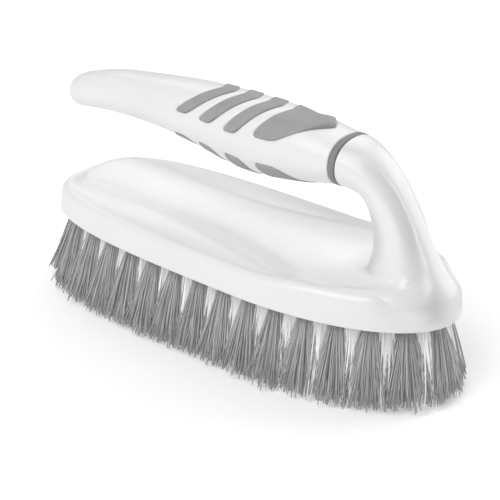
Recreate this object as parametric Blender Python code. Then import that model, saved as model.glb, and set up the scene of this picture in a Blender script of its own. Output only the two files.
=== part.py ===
# Hand scrub brush: a boat-shaped base with scooped flanks, a column rising from its heel and a
# grip that reaches forward over the base. Metres, +Z up, +X towards the heel, tips at z = 0.
# Along the brush, places are measured from the middle of the base, which the empty carries.

import bpy
import bmesh
import numpy as np

# Base outline, seen from above: two superellipse halves that meet at the widest place
base_length = 0.165
base_width = 0.0622
widest_place = 0.0168
toe_exponent = 3.4
heel_exponent = 2.05
spine_start_share = 0.8

# Heights of the base. The rim's is over the floor and the others are over the rim
rim_height = 0.0285
deck_rise = 0.0118
scoop_shoulder_rise = 0.0092
deck_shoulder_rise = 0.0113
spine_shoulder_rise = 0.0100
shoulder_radius = 0.0030
rim_land = 0.0012

# Insets of the base's edges from its outline
skirt_draft = 0.0006
spine_draft = 0.0003
spine_inset = 0.0009
deck_toe_inset = 0.0095
deck_side_inset = 0.0052
deck_heel_inset = 0.0015

# Deck: an arc narrows it to a waist, and a scoop lies beyond the arc on each flank. Places along
# the base are measured from its middle.
waist_half_width = 0.0111
waist_place = -0.0267
deck_flare_radius = 0.190
waist_sharpness = 8
scoop_toe_depth = 0.0014
scoop_depth = 0.0041
scoop_deepest_place = 0.0225
scoop_end_place = 0.0425
scoop_fade_length = 0.0100
scoop_wall_run = 0.0017
scoop_wall_most_share = 0.5
scoop_hollow = 0.0005
shoulder_climb_start = 0.0200
shoulder_climb_end = 0.0470
shoulder_turns = (35, 65, 90)

# Cover walls and the block set in them
skirt_wall = 0.0024
ledge_rise = 0.0056
deck_wall = 0.0024
seat_gap = 0.0003
block_recess = 0.0005

# Column, from its foot on the deck to the joint with the grip: two curves in the middle plane.
# Setbacks run forward from the heel's end, and rises are over the deck. A handle is a curve's
# inner control point, as (setback, rise).
foot_front_setback = 0.0299
foot_back_setback = 0.0024
foot_rise = 0.0004
foot_fillet = 0.0022
foot_fillet_shares = (0.3, 0.15)
joint_setback = 0.0402
joint_rise = 0.0248
joint_thickness = 0.0161
front_handles = ((0.0324, 0.0087), (0.0306, 0.0239))
back_handles = ((0.0134, 0.0118), (0.0201, 0.0396))
column_width = 0.0202
column_width_shares = ((0.0, 1.0), (0.12, 0.91), (0.3, 0.80), (0.55, 0.78), (0.78, 0.9), (1.0, 1.06))
column_ring_shares = (0.05, 0.17, 0.29, 0.43, 0.57, 0.71, 0.85, 1.0)
deck_ring_shares = (0.25, 0.55)
foot_exponent = 2.7
joint_exponent = 2.2
front_exponent = 1.55
front_shares = (0.25, 0.7)
along_blend_share = 0.125

# Section of the column at shares of its run: a hollow down each flank, between the flat side and
# the spine behind, and how far the side is pushed back. Turns are degrees round from the heel.
section_place_shares = (0.0, 0.18, 0.4, 0.6, 0.8, 1.0)
flank_hollow_shares = (0.34, 0.40, 0.44, 0.36, 0.16, 0.0)
flank_hollow_turns = (46, 40, 34, 38, 44, 48)
flank_hollow_spreads = (22, 19, 15, 17, 20, 20)
side_push_shares = (-0.2, -0.05, 0.12, 0.12, 0.05, 0.0)

# Sweep of the skirt up into the spine and the hollow flanks round the heel, in place of a ledge.
# Its low edge runs to the column's foot, between the two low turns.
sweep_shares = (0.05, 0.12, 0.2, 0.3, 0.4, 0.5, 0.63, 0.8, 0.86, 0.92, 1.0)
sweep_foot_share = 0.8
sweep_join_shares = (0.13, 0.0)
sweep_reach_share = 0.01
sweep_rises = (0.0040, 0.0048)
sweep_foot_length = 0.0065
sweep_low_turns = (20, 36)
sweep_end_turns = (30, 43)

# Hollow down each side of the spine on the skirt, and its shares at the rim, over the land, at the
# skirt's top and over the shoulder
wall_hollow = 0.0012
wall_hollow_turn = 29
wall_hollow_spread = 9
wall_hollow_shares = (0.0, 0.1, 0.6, 1.0)

# Joint of column and grip
spigot_share = 0.62
spigot_length = 0.0130
band_width = 0.0023
band_proud = 0.0002

# Grip: a tapered loft with a drooping rounded tip. Each share table runs from the tip to the joint.
grip_overhang = 0.0050
grip_droop = 0.0066
grip_thickness = 0.0242
grip_width = 0.0256
tip_radius = 0.0082
tip_turns = (22, 42, 62, 82)
grip_exponent = 2.3
grip_place_shares = (0.0, 0.16, 0.33, 0.5, 0.72, 0.88, 1.0)
grip_axis_shares = (-1.0, -0.34, -0.02, 0.06, -0.15, -0.06, 0.0)
grip_thickness_shares = (0.47, 0.6, 0.69, 0.83, 1.0, 0.88, 0.665)
grip_width_shares = (0.44, 0.6, 0.735, 0.865, 1.0, 0.95, 0.84)

# Soft pads let into the grip. Each is a band across it, from one side's end angle to the other's,
# measured from the grip's ridge, and it bows towards the tip by so much at its ends. Setbacks run
# forward from the grip's joint end.
pad_thickness = 0.0013
pad_proud = 0.0003
pad_end_exponent = 5.0
bow_exponent = 1.5
pad_end_turn = 86
pad_rows = 12
pad_core_share = 0.4
pad_skin_rise = 0.0006
stripe_top_setbacks = (0.0540, 0.0440, 0.0336)
stripe_top_width = 0.0063
stripe_top_bows = (0.0124, 0.0112, 0.0101)
stripe_top_angle = 77
stripe_under_setbacks = (0.0648, 0.0513, 0.0375)
stripe_under_width = 0.0082
stripe_under_bows = (0.0044, 0.0053, 0.0063)
stripe_under_angles = (54, 60, 66)
thumb_setback = 0.0233
thumb_length = 0.0177
thumb_start_bow = 0.0080
thumb_end_bow = 0.0152
thumb_angle = 72
thumb_lip = 0.0021
thumb_lip_setback = 0.0089
thumb_lip_length = 0.0034
thumb_dish = 0.0006
thumb_dish_setback = 0.0169
thumb_dish_length = 0.0050
finger_setback = 0.0238
finger_length = 0.0174
finger_start_bow = 0.0068
finger_end_bow = 0.0140
finger_angle = 67

# Outer tufts, one to a hole, splayed outwards. The first stands at the heel's end
outer_count = 32
hole_inset = 0.0067
hole_radius = 0.0032
hole_depth = 0.0036
outer_strands = 8
outer_root_thickness = 0.0009
outer_tip_thickness = 0.0008
outer_tip_half_width = 0.0052
outer_tip_half_depth = 0.0036
toe_splay = 0.0020
heel_splay = -0.0022

# Inner tufts, in rows along the brush, each row standing on one slice let into the block. The
# slots share out the block's width inside the holes, and each ends where its corners meet the
# wall that parts it from the holes.
inner_lines = 4
inner_field_share = 0.85
inner_pitch = 0.0099
hole_wall = 0.0016
slot_wall = 0.0018
slice_depth = 0.0020
inner_root_share = 0.66
inner_tip_share = 0.41
inner_root_thickness = 0.0009
inner_tip_thickness = 0.0008

# How finely the curved surfaces are divided. Round half the base, at shares of its points, the
# turns of the outline's heel half and of the column are closest together on the swept flanks.
base_points = 70
heel_point_shares = (0.0, 0.15, 0.30, 0.42, 0.55)
heel_turns = (0, 15, 35, 58, 90)
column_point_shares = (0.0, 0.15, 0.30, 0.42, 0.55, 1.0)
column_turns = (0, 32, 74, 100, 125, 180)
grip_points = 32
grip_rows = 22
core_points = 20
core_rows = 12
hole_points = 8
fine_points = 2880
tangent_share = 0.12
overrun = 0.0040

half_length = base_length / 2
half_width = base_width / 2
deck_height = rim_height + deck_rise
under_height = rim_height + block_recess
block_top = rim_height + ledge_rise - seat_gap
foot_front_place = half_length - foot_front_setback
joint_place = half_length - joint_setback
joint_height = deck_height + joint_rise + joint_thickness / 2
grip_end = joint_place - band_width - 2 * seat_gap
grip_tip = -half_length - grip_overhang
joint_width = column_width * column_width_shares[-1][1]
inner_margin = hole_inset + hole_radius + hole_wall
inner_row_pitch = (2 * inner_field_share * (half_width - inner_margin) + slot_wall) / inner_lines
slice_half_width = (inner_row_pitch - slot_wall) / 2
toe_overhang = toe_splay + outer_tip_half_depth
heel_overhang = heel_splay + outer_tip_half_depth
base_shift = (toe_overhang - heel_overhang) / 2


def clear_scene():
    for thing in list(bpy.data.objects):
        bpy.data.objects.remove(thing, do_unlink=True)


def plastic(name, colour, roughness, coat=0.0):
    """A moulded polymer: its colour, roughness and, where glossy, a thin clear coat."""
    material = bpy.data.materials.new(name)
    material.use_nodes = True
    shader = material.node_tree.nodes["Principled BSDF"]
    shader.inputs["Base Color"].default_value = (*colour, 1.0)
    shader.inputs["Roughness"].default_value = roughness
    shader.inputs["Metallic"].default_value = 0.0
    shader.inputs["Coat Weight"].default_value = coat
    material.diffuse_color = (*colour, 1.0)
    return material


def step(value):
    """Smooth rise from 0 to 1."""
    value = np.clip(value, 0.0, 1.0)
    return value * value * (3 - 2 * value)


def mix(first, second, share):
    return first + (second - first) * share


def smooth(xs, ys, place):
    """Cubic Hermite curve through the values ys at the places xs."""
    xs = np.array(xs)
    ys = np.array(ys)
    slopes = np.gradient(ys, xs)
    place = np.clip(place, xs[0], xs[-1])
    i = np.clip(np.searchsorted(xs, place) - 1, 0, len(xs) - 2)
    run = xs[i + 1] - xs[i]
    t = (place - xs[i]) / run
    start = (2 * t**3 - 3 * t**2 + 1) * ys[i] + (t**3 - 2 * t**2 + t) * run * slopes[i]
    return start + (3 * t**2 - 2 * t**3) * ys[i + 1] + (t**3 - t**2) * run * slopes[i + 1]


def bezier(p0, p1, p2, p3, t):
    """Point at t on a cubic Bezier curve, or one for each t."""
    p0, p1, p2, p3 = (np.array(p) for p in (p0, p1, p2, p3))
    t = np.asarray(t)[..., None]
    return (1 - t) ** 3 * p0 + 3 * (1 - t) ** 2 * t * p1 + 3 * (1 - t) * t**2 * p2 + t**3 * p3


def power(value, exponent):
    return np.sign(value) * np.abs(value) ** exponent


def solid(name, rings, material, parent, smooth_angle=40):
    """Closed solid through rings of equal point counts, split alike everywhere, with capped ends."""
    rings = np.array(rings)
    rows, count = rings.shape[:2]
    faces = [tuple(range(count)), tuple((rows - 1) * count + k for k in range(count))]
    for row in range(rows - 1):
        for k in range(count):
            nxt = (k + 1) % count
            a, b, c, d = row * count + k, row * count + nxt, (row + 1) * count + nxt, (row + 1) * count + k
            faces += [(a, b, c), (a, c, d)]
    return mesh_object(name, rings.reshape(-1, 3), faces, material, parent, smooth_angle)


def mesh_object(name, points, faces, material, parent, smooth_angle=40):
    mesh = bpy.data.meshes.new(name)
    mesh.from_pydata([tuple(p) for p in np.asarray(points).tolist()], [], faces)
    work = bmesh.new()
    work.from_mesh(mesh)
    bmesh.ops.recalc_face_normals(work, faces=work.faces)
    work.to_mesh(mesh)
    work.free()
    mesh.shade_smooth()
    mesh.set_sharp_from_angle(angle=np.radians(smooth_angle))
    if material:
        mesh.materials.append(material)
    thing = bpy.data.objects.new(name, mesh)
    bpy.context.collection.objects.link(thing)
    thing.parent = parent
    return thing


def cutter(thing):
    thing.hide_render = True
    thing.display_type = "WIRE"
    return thing


def boolean(thing, other, operation):
    modifier = thing.modifiers.new(other.name, "BOOLEAN")
    modifier.operation = operation
    modifier.solver = "EXACT"
    modifier.object = other


# Base outline

def even_turns(exponent, run, rise, shares):
    """Angles at shares of the way along a superellipse's quarter, from its side to its end."""
    fine = np.linspace(np.pi / 2, 0, fine_points)
    x = run * power(np.cos(fine), 2 / exponent)
    y = rise * power(np.sin(fine), 2 / exponent)
    travel = np.concatenate([[0], np.cumsum(np.hypot(np.diff(x), np.diff(y)))])
    return np.interp(shares * travel[-1], travel, fine)


def both_sides(half):
    """Turns from the heel round one side to the toe, carried back round the other side."""
    return np.concatenate([half, 2 * np.pi - half[-2:0:-1]])


def turns_from_heel(turns):
    return np.degrees(np.arccos(np.clip(np.cos(turns), -1, 1)))


def spine_share(turns):
    return step((np.cos(turns) - spine_start_share) / (1 - spine_start_share))


half_shares = np.linspace(0, 1, base_points // 2 + 1)
side_share = heel_point_shares[-1]
heel_half = np.radians(smooth(heel_point_shares, heel_turns, half_shares))
toe_shares = np.clip((half_shares - side_share) / (1 - side_share), 0, 1)
toe_half = np.pi - even_turns(toe_exponent, half_length + widest_place, half_width, toe_shares)
base_turns = both_sides(np.where(half_shares < side_share, heel_half, toe_half))
heel_side = np.cos(base_turns) > 0
exponent = np.where(heel_side, heel_exponent, toe_exponent)
along_unit = power(np.cos(base_turns), 2 / exponent)
across_unit = power(np.sin(base_turns), 2 / exponent)
from_heel = turns_from_heel(base_turns)
heelness = spine_share(base_turns)
section_turns = both_sides(np.radians(smooth(column_point_shares, column_turns, half_shares)))
along = np.cos(section_turns)
across = np.sin(section_turns)
column_heelness = spine_share(section_turns)


def outline(inset, along_unit=along_unit, across_unit=across_unit):
    """Places on the base outline, drawn in by an inset."""
    toe_run = half_length + widest_place - inset
    heel_run = half_length - widest_place - inset
    x = widest_place + np.where(along_unit > 0, heel_run, toe_run) * along_unit
    return x, (half_width - inset) * across_unit


def base_ring(inset, height):
    x, y = outline(inset)
    return np.stack([x, y, np.broadcast_to(height, x.shape)], -1)


def wall_ring(inset, spine, rise, hollow_share):
    """Ring on the skirt: upright at the heel's spine and hollowed on each side of it."""
    bump = np.exp(-(((from_heel - wall_hollow_turn) / wall_hollow_spread) ** 2))
    return base_ring(mix(inset, spine, heelness) + wall_hollow * hollow_share * bump, rim_height + rise)


def waist(x):
    return waist_half_width + (x - waist_place) ** 2 / (2 * deck_flare_radius)


def deck_edge(shrink=0.0):
    """Closed edge of the deck: toe cap, waisted sides and heel."""
    side = mix(deck_side_inset, deck_heel_inset, heelness)
    x, y = outline(np.where(heel_side, side, deck_toe_inset) + shrink)
    limit = waist(x) - shrink
    y = y * (np.abs(y / limit) ** waist_sharpness + 1) ** (-1 / waist_sharpness)
    return x, y


def scoop(x):
    """Depth of the scoop's wall under the deck's edge."""
    toe_place = -half_length + deck_toe_inset
    grown = step((x - toe_place) / (scoop_deepest_place - toe_place))
    start = step((x - toe_place) / scoop_fade_length)
    finish = 1 - step((x - scoop_deepest_place) / (scoop_end_place - scoop_deepest_place))
    return mix(scoop_toe_depth, scoop_depth, grown) * start * finish


# Column

def column_curve(foot_setback, handles, end_rise, t):
    """Point on the column's front or back curve, from its foot to the joint."""
    marks = ((foot_setback, foot_rise), *handles, (joint_setback, end_rise))
    return bezier(*((half_length - setback, deck_height + rise) for setback, rise in marks), t)


def column_ring(t, grow=0.0, raise_by=0.0, scale=1.0, hollow=1.0):
    """Section of the column in the plane through its front and back curves, at one t or one a point."""
    front = column_curve(foot_front_setback, front_handles, joint_rise, t)
    back = column_curve(foot_back_setback, back_handles, joint_rise + joint_thickness, t)
    middle = (front + back) / 2
    reach = (back - front) / 2 * scale
    start, end = front_shares
    n = mix(foot_exponent, joint_exponent, step(t))
    narrow = mix(front_exponent, joint_exponent, step((t - end) / (1 - end)))
    narrow = mix(foot_exponent, narrow, step(t / start))
    n = mix(n, mix(n, narrow, hollow), step((1 - along / along_blend_share) / 2))
    c = power(along, 2 / n)
    s = power(across, 2 / n)
    dip, turn, spread, push = (
        smooth(section_place_shares, table, t)
        for table in (flank_hollow_shares, flank_hollow_turns, flank_hollow_spreads, side_push_shares)
    )
    bump = np.exp(-(((turns_from_heel(section_turns) - turn) / spread) ** 2))
    width = column_width * smooth(*zip(*column_width_shares), t)
    side = (width / 2 * scale + grow * (1 - column_heelness)) * s
    c = c + hollow * push * (1 - c**2)
    x = middle[..., 0] + reach[..., 0] * c + grow * np.minimum(c, 0)
    z = middle[..., 1] + reach[..., 1] * c + raise_by
    return np.stack([x, side * (1 - hollow * dip * bump), z], -1)


def sweep(rings, skirt_top, last):
    """Rings redrawn round the heel: one curve from the skirt's top up into the column."""
    start, end = sweep_low_turns
    low = step((from_heel - start) / (end - start))
    join = mix(*sweep_join_shares, low)
    grow = foot_fillet * low
    foot = column_ring(join, grow)
    down = foot - column_ring(join + sweep_reach_share, grow)
    down *= (sweep_foot_length * (1 - low) / np.linalg.norm(down, axis=1))[:, None]
    up = np.stack([0 * low, 0 * low, mix(*sweep_rises, low)], -1)
    start, end = sweep_end_turns
    window = (1 - step((from_heel - start) / (end - start)))[:, None]
    swept = []
    for ring, share in zip(rings, sweep_shares):
        if share < sweep_foot_share:
            curve = bezier(skirt_top, skirt_top + up, foot + down, foot, share / sweep_foot_share)
        else:
            climbed = (share - sweep_foot_share) / (1 - sweep_foot_share)
            curve = column_ring(mix(join, last, climbed), grow * (1 - climbed) ** 2)
        swept.append(mix(ring, curve, window))
    return swept


def cover_rings():
    """Rings from the ceiling of the hollow, down its walls, round the rim and up to the spigot."""
    ceiling = rim_height + deck_rise - deck_wall
    ledge = rim_height + ledge_rise
    x, y = deck_edge(deck_wall)
    flat = np.ones_like(x)
    rings = [np.stack([x, y, ceiling * flat], -1), np.stack([x, y, ledge * flat], -1)]
    rings += [base_ring(skirt_wall, ledge), base_ring(skirt_wall, rim_height)]

    at_rim, at_land, at_top, at_shoulder = wall_hollow_shares
    rings += [wall_ring(0.0, 0.0, 0.0, at_rim), wall_ring(0.0, 0.0, rim_land, at_land)]
    foot_rise = scoop_shoulder_rise - shoulder_radius
    skirt_top = wall_ring(skirt_draft, spine_draft, foot_rise, at_top)
    rings.append(skirt_top)
    upper = []
    x_edge, y_edge = deck_edge()
    climb = step((x_edge - shoulder_climb_start) / (shoulder_climb_end - shoulder_climb_start))
    shoulder_rise = mix(mix(scoop_shoulder_rise, deck_shoulder_rise, climb), spine_shoulder_rise, heelness)
    for turn in np.radians(shoulder_turns):
        inset = skirt_draft + shoulder_radius * (1 - np.cos(turn))
        rise = shoulder_rise - shoulder_radius * (1 - np.sin(turn))
        upper.append(wall_ring(inset, mix(spine_draft, spine_inset, np.sin(turn)), rise, at_shoulder))
    shoulder = upper[-1]

    edge = np.stack([x_edge, y_edge, deck_height * flat], -1)
    run = np.linalg.norm((shoulder - edge)[:, :2], axis=1)
    share = np.minimum(scoop_wall_run / run, scoop_wall_most_share)[:, None]
    foot = mix(edge, shoulder, share)
    foot[:, 2] = np.minimum(foot[:, 2], deck_height - scoop(x_edge))
    middle = (foot + shoulder) / 2
    middle[:, 2] -= scoop_hollow * (1 - heelness) * (1 - climb)
    upper += [middle, foot, edge]

    apron = column_ring(0.0, foot_fillet)
    apron[:, 2] = mix(deck_height, apron[:, 2], column_heelness)
    pull = (1 - step((x_edge - shoulder_climb_start) / (foot_front_place - shoulder_climb_start)))[:, None]
    along_share, across_share = deck_ring_shares
    bent = mix(edge, apron, along_share)
    bent[:, 1] = across_share * edge[:, 1] + along_share * apron[:, 1]
    bent[:, 2] = edge[:, 2]
    upper.append(mix((edge + apron) / 2, bent, pull))
    upper.append(apron)
    out_share, up_share = foot_fillet_shares
    upper.append(column_ring(0.0, foot_fillet * out_share, foot_fillet * up_share))
    low_count = len(sweep_shares) - len(upper)
    upper += [column_ring(t) for t in column_ring_shares[:low_count]]
    rings += sweep(upper, skirt_top, column_ring_shares[low_count - 1])
    rings += [column_ring(t) for t in column_ring_shares[low_count:]]

    root = column_ring(1.0, scale=spigot_share, hollow=0.0)
    tip = root - np.array([spigot_length, 0, 0])
    rings += [root, tip]
    return rings


# Grip

def grip_section(x, grow=0.0):
    """Centre height, half thickness and half width of the grip at a place along it."""
    share = (x - grip_tip) / (grip_end - grip_tip)
    nose = np.clip((x - grip_tip) / tip_radius, 0, 1)
    round_off = np.sqrt(np.maximum(1 - (1 - nose) ** 2, 0))
    centre = joint_height + grip_droop * smooth(grip_place_shares, grip_axis_shares, share)
    thick = grip_thickness / 2 * smooth(grip_place_shares, grip_thickness_shares, share) * round_off + grow
    wide = grip_width / 2 * smooth(grip_place_shares, grip_width_shares, share) * round_off + grow
    return centre, thick, wide


def grip_ring(x, grow=0.0, lip=0.0, count=grip_points):
    turn = np.linspace(0, 2 * np.pi, count, endpoint=False)
    c = power(np.cos(turn), 2 / grip_exponent)
    s = power(np.sin(turn), 2 / grip_exponent)
    centre, thick, wide = grip_section(x, grow)
    up = np.maximum(c, 0) ** 2
    return np.stack([np.full(count, x), wide * s, centre + thick * c + lip * up], -1)


def grip_places():
    """Places of the sections, close together round the tip."""
    nose = grip_tip + tip_radius * (1 - np.cos(np.radians(tip_turns)))
    body = np.linspace(grip_tip + tip_radius, grip_end, grip_rows)[1:]
    return np.concatenate([nose, body])


def grip_core(name, depth, parent):
    """Cutter in the grip's own shape, a depth under its surface."""
    places = np.linspace(grip_tip + tip_radius, grip_end, core_rows)
    rings = [grip_ring(x, -depth, count=core_points) for x in places]
    return cutter(solid(name, rings, None, parent))


def pad_cutter(name, shape, inset, top, parent):
    """Wedge that spreads from inside the grip through a pad's outline, past the grip's surface."""
    setback, length, start_bow, end_bow, end_angle = shape
    start = grip_end - setback
    end = start + length
    end_angle = np.radians(end_angle)
    side = 1 if top else -1
    rings = []
    for turn in np.radians(np.linspace(-pad_end_turn, pad_end_turn, pad_rows)):
        along_band = np.sin(turn)
        angle = along_band * (end_angle - inset / (grip_width / 2))
        fullness = (1 - abs(along_band) ** pad_end_exponent) ** (1 / pad_end_exponent)
        swing = abs(angle / end_angle) ** bow_exponent
        slant = bow_exponent * abs(angle / end_angle) ** (bow_exponent - 1) / end_angle / (grip_width / 2)
        low = start - start_bow * swing + inset * np.hypot(1, start_bow * slant)
        high = end - end_bow * swing - inset * np.hypot(1, end_bow * slant)
        middle, reach = (low + high) / 2, (high - low) / 2 * fullness
        ring = []
        for end_side, levels in ((-1, (2, 1, 0)), (1, (0, 1, 2))):
            x = middle + end_side * reach
            centre, thick, wide = grip_section(x)
            flat = np.abs((np.cos(angle) / thick, np.sin(angle) / wide))
            skin = np.sum(flat**grip_exponent) ** (-1 / grip_exponent)
            radii = (skin * pad_core_share, skin + pad_skin_rise, skin + overrun)
            for level in levels:
                radius = radii[level]
                ring.append((x, radius * np.sin(angle), centre + side * radius * np.cos(angle)))
        rings.append(ring)
    return cutter(solid(name, rings, None, parent))


def make_pad(name, shape, top, grip, core, material, parent, lip=None):
    """A pad and its pocket: the pad is the grip's own skin, cut to its outline and thickness."""
    pocket = pad_cutter(name + "_pocket", shape, 0.0, top, parent)
    boolean(pocket, core, "DIFFERENCE")
    boolean(grip, pocket, "DIFFERENCE")
    places = grip_places()
    raised = np.zeros_like(places) if lip is None else lip(places)
    rings = [grip_ring(x, pad_proud, rise) for x, rise in zip(places, raised)]
    pad = solid(name, rings, material, parent)
    boolean(pad, pad_cutter(name + "_trim", shape, seat_gap, top, parent), "INTERSECT")
    boolean(pad, grip_core(name + "_back", pad_thickness - seat_gap, parent), "DIFFERENCE")


def thumb_rise(x):
    setback = grip_end - x
    lip = thumb_lip * np.exp(-(((setback - thumb_lip_setback) / thumb_lip_length) ** 2))
    dish = thumb_dish * np.exp(-(((setback - thumb_dish_setback) / thumb_dish_length) ** 2))
    return lip - dish


def make_grip(white, soft, parent):
    rings = [grip_ring(x) for x in grip_places()]
    grip = solid("handle_grip", rings, white, parent)
    turn = np.linspace(0, 2 * np.pi, grip_points, endpoint=False)
    socket_half = joint_thickness / 2 * spigot_share + seat_gap
    socket_side = joint_width / 2 * spigot_share + seat_gap
    c = socket_half * power(np.cos(turn), 2 / joint_exponent)
    s = socket_side * power(np.sin(turn), 2 / joint_exponent)
    mouth = np.stack([np.full(grip_points, grip_end + overrun), s, joint_height + c], -1)
    floor = mouth.copy()
    floor[:, 0] = joint_place - spigot_length - seat_gap
    boolean(grip, cutter(solid("socket_cut", [mouth, floor], None, parent)), "DIFFERENCE")
    core = grip_core("grip_core", pad_thickness, parent)

    for k, (setback, bow) in enumerate(zip(stripe_top_setbacks, stripe_top_bows), 1):
        shape = (setback, stripe_top_width, bow, bow, stripe_top_angle)
        make_pad(f"top_stripe_{k}", shape, True, grip, core, soft, parent)
    shape = (thumb_setback, thumb_length, thumb_start_bow, thumb_end_bow, thumb_angle)
    make_pad("thumb_pad", shape, True, grip, core, soft, parent, thumb_rise)
    under = zip(stripe_under_setbacks, stripe_under_bows, stripe_under_angles)
    for k, (setback, bow, angle) in enumerate(under, 1):
        shape = (setback, stripe_under_width, bow, bow, angle)
        make_pad(f"under_stripe_{k}", shape, False, grip, core, soft, parent)
    shape = (finger_setback, finger_length, finger_start_bow, finger_end_bow, finger_angle)
    make_pad("finger_pad", shape, False, grip, core, soft, parent)


def make_band(soft, parent):
    """Soft band on the spigot, between the grip's end and the column's end."""
    turn = np.linspace(0, 2 * np.pi, grip_points, endpoint=False)
    c = power(np.cos(turn), 2 / joint_exponent)
    s = power(np.sin(turn), 2 / joint_exponent)
    back = joint_place - seat_gap
    front = back - band_width
    corners = (
        (front, 1, band_proud),
        (back, 1, band_proud),
        (back, spigot_share, seat_gap),
        (front, spigot_share, seat_gap),
    )
    rings = []
    for x, scale, grow in corners:
        y = (joint_width / 2 * scale + grow) * s
        z = joint_height + (joint_thickness / 2 * scale + grow) * c
        rings.append(np.stack([np.full(grip_points, x), y, z], -1))
    faces = []
    for row in range(len(corners)):
        first = row * grip_points
        after = (row + 1) % len(corners) * grip_points
        for k in range(grip_points):
            nxt = (k + 1) % grip_points
            faces.append((first + k, first + nxt, after + nxt, after + k))
    mesh_object("joint_band", np.array(rings).reshape(-1, 3), faces, soft, parent)


# Bristles

def spaced_outline(inset, count):
    """Places at equal steps round the outline drawn in by an inset, with outward directions."""
    fine = np.linspace(0, 2 * np.pi, fine_points, endpoint=False)
    n = np.where(np.cos(fine) > 0, heel_exponent, toe_exponent)
    x, y = outline(inset, power(np.cos(fine), 2 / n), power(np.sin(fine), 2 / n))
    ring = np.stack([x, y], -1)
    steps = np.linalg.norm(np.roll(ring, -1, 0) - ring, axis=1)
    travel = np.concatenate([[0], np.cumsum(steps)])
    wanted = np.arange(count) / count * travel[-1]
    closed = np.vstack([ring, ring[:1]])
    places = np.stack([np.interp(wanted, travel, closed[:, k]) for k in range(2)], -1)
    span = travel[-1] / count * tangent_share
    tangent = np.zeros_like(places)
    for way in (1, -1):
        for k in range(2):
            tangent[:, k] += way * np.interp(wanted + way * span, travel, closed[:, k], period=travel[-1])
    tangent /= np.linalg.norm(tangent, axis=1)[:, None]
    return places, np.stack([tangent[:, 1], -tangent[:, 0]], -1), tangent


def fan(points, faces, centre, rim, tips, root_thickness, tip_thickness):
    """Strands of three sides, one grown from each sector between a centre and a rim of points."""
    count = len(rim)
    for k in range(count):
        corners = (centre, rim[k], rim[(k + 1) % count])
        middle = sum(points[c] for c in corners) / 3
        root = []
        tip = []
        for c in corners:
            away = points[c] - middle
            away /= np.linalg.norm(away)
            root.append(len(points))
            points.append(middle + away * root_thickness / np.sqrt(3))
            tip.append(len(points))
            points.append(tips[k] + away * tip_thickness / np.sqrt(3))
        for j in range(3):
            nxt = (j + 1) % 3
            faces.append((corners[j], corners[nxt], root[nxt], root[j]))
            faces.append((root[j], root[nxt], tip[nxt], tip[j]))
        faces.append(tuple(tip))


def make_outer_tufts(material, parent):
    places, outward, tangent = spaced_outline(hole_inset, outer_count)
    turn = np.linspace(0, 2 * np.pi, outer_strands, endpoint=False)
    plug = hole_radius - seat_gap
    for k in range(outer_count):
        share = (places[k][0] + half_length) / base_length
        lean = hole_inset + mix(toe_splay, heel_splay, share)
        root = np.array([*places[k], under_height])
        tip = np.array([*(places[k] + outward[k] * lean), 0.0])
        across_way = np.array([*tangent[k], 0.0])
        out_way = np.array([*outward[k], 0.0])
        ring = [root + plug * (np.cos(a) * across_way + np.sin(a) * out_way) for a in turn]
        top = [p + np.array([0, 0, hole_depth - seat_gap]) for p in ring]
        points = top + ring + [root]
        count = outer_strands
        faces = [tuple(range(count))]
        faces += [(j, (j + 1) % count, count + (j + 1) % count, count + j) for j in range(count)]
        middle = turn + np.pi / count
        tips = [
            tip + outer_tip_half_width * np.cos(a) * across_way + outer_tip_half_depth * np.sin(a) * out_way
            for a in middle
        ]
        rim = range(count, 2 * count)
        fan(points, faces, 2 * count, rim, tips, outer_root_thickness, outer_tip_thickness)
        mesh_object(f"outer_tuft_{k + 1:02d}", points, faces, material, parent)


def row_run(run, share, exponent):
    """How far a row runs from the widest place, at a share of the half width."""
    return run * (1 - share**exponent) ** (1 / exponent)


def inner_rows():
    """For each row: its place across the brush and the places of its tufts along it."""
    rows = []
    for line in range(inner_lines):
        y = (line - (inner_lines - 1) / 2) * inner_row_pitch
        share = (abs(y) + slice_half_width) / (half_width - inner_margin)
        toe_run = row_run(half_length + widest_place - inner_margin, share, toe_exponent)
        heel_run = row_run(half_length - widest_place - inner_margin, share, heel_exponent)
        toe = widest_place - toe_run + slice_half_width
        heel = widest_place + heel_run - slice_half_width
        count = int((heel - toe) / inner_pitch) + 1
        middle = (heel + toe) / 2
        rows.append((y, middle + (np.arange(count) - (count - 1) / 2) * inner_pitch))
    return rows


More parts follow.
